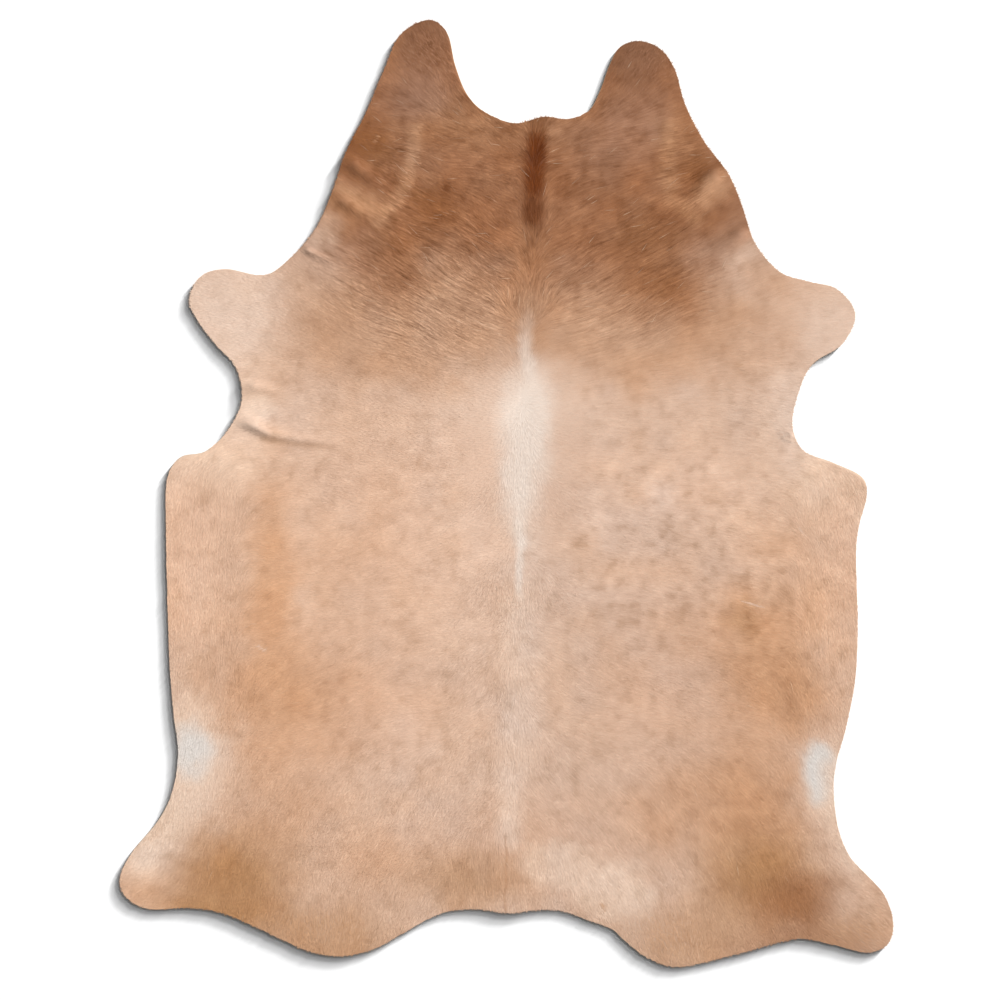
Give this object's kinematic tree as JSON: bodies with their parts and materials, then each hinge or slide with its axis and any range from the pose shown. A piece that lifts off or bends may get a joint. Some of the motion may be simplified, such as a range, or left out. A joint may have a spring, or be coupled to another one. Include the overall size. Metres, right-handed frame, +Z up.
{
  "type": "cowhide rug",
  "caption": "Whole cowhide rug with short tan and brown hair, laid flat, with neck flaps, foreleg and hind leg lobes and soft folds.",
  "frame": {"origin": "middle of the hide's box, on the floor under it", "axes": "+Z up out of the hair side, +Y along the spine towards the neck, +X to the right as seen from above"},
  "size_m": [1.7966, 2.1997, 0.0119],
  "materials": {
    "coat": "short glossy hair in tan, brown and cream on soft tanned leather"
  },
  "bodies": {
    "root": {"hide": "coat"}
  },
  "joints": []
}
